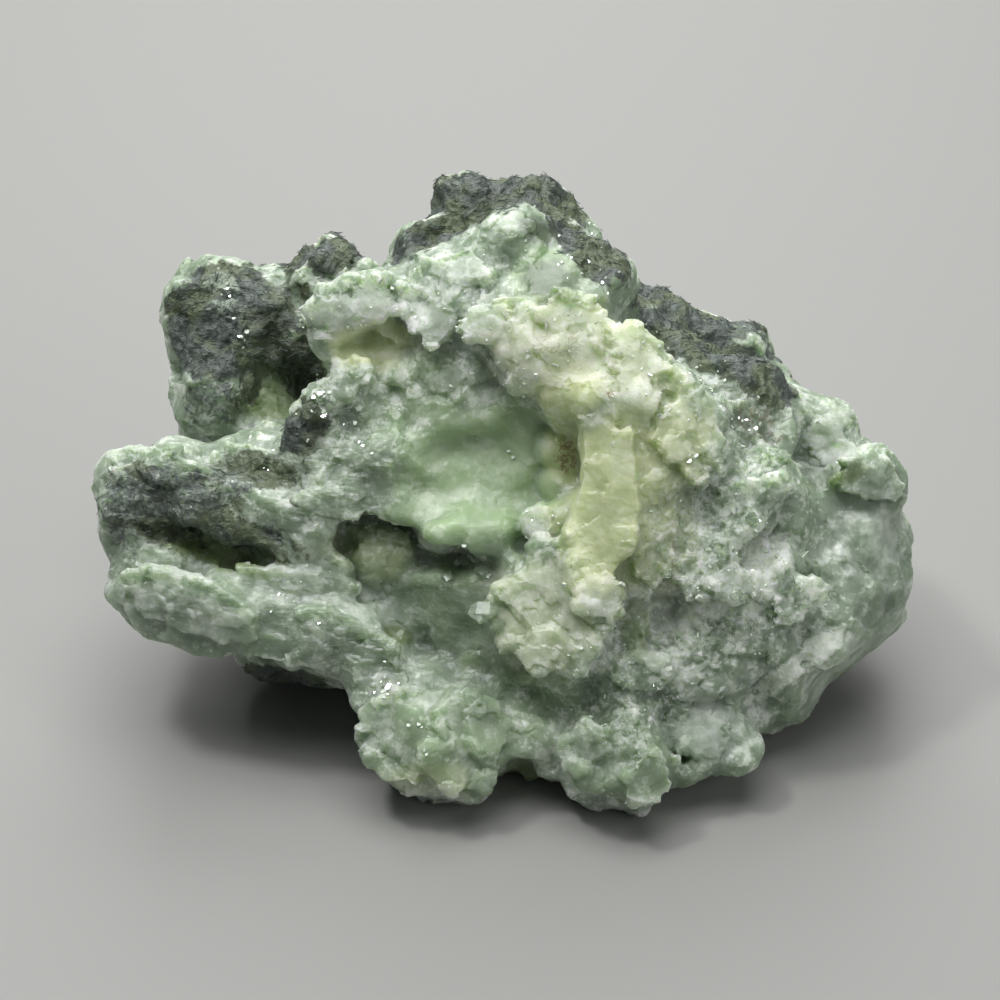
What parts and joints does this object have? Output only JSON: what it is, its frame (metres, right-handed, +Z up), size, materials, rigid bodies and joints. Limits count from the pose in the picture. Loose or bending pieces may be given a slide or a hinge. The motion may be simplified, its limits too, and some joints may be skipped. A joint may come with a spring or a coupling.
{
  "type": "prehnite with byssolite specimen",
  "caption": "Rough hand specimen of pale green prehnite with dark fibrous byssolite, a broken lump with ledges, pits and an overhanging arm, resting on a flat spot.",
  "frame": {"origin": "middle of the bounding box in plan, at the level it rests on", "axes": "+X across the broken face to the right, +Y into the specimen away from that face, +Z up"},
  "size_m": [0.0574, 0.0386, 0.0338],
  "materials": {
    "prehnite": "waxy to glassy, rough broken"
  },
  "bodies": {
    "root": {"prehnite_with_byssolite": "prehnite"}
  },
  "joints": []
}
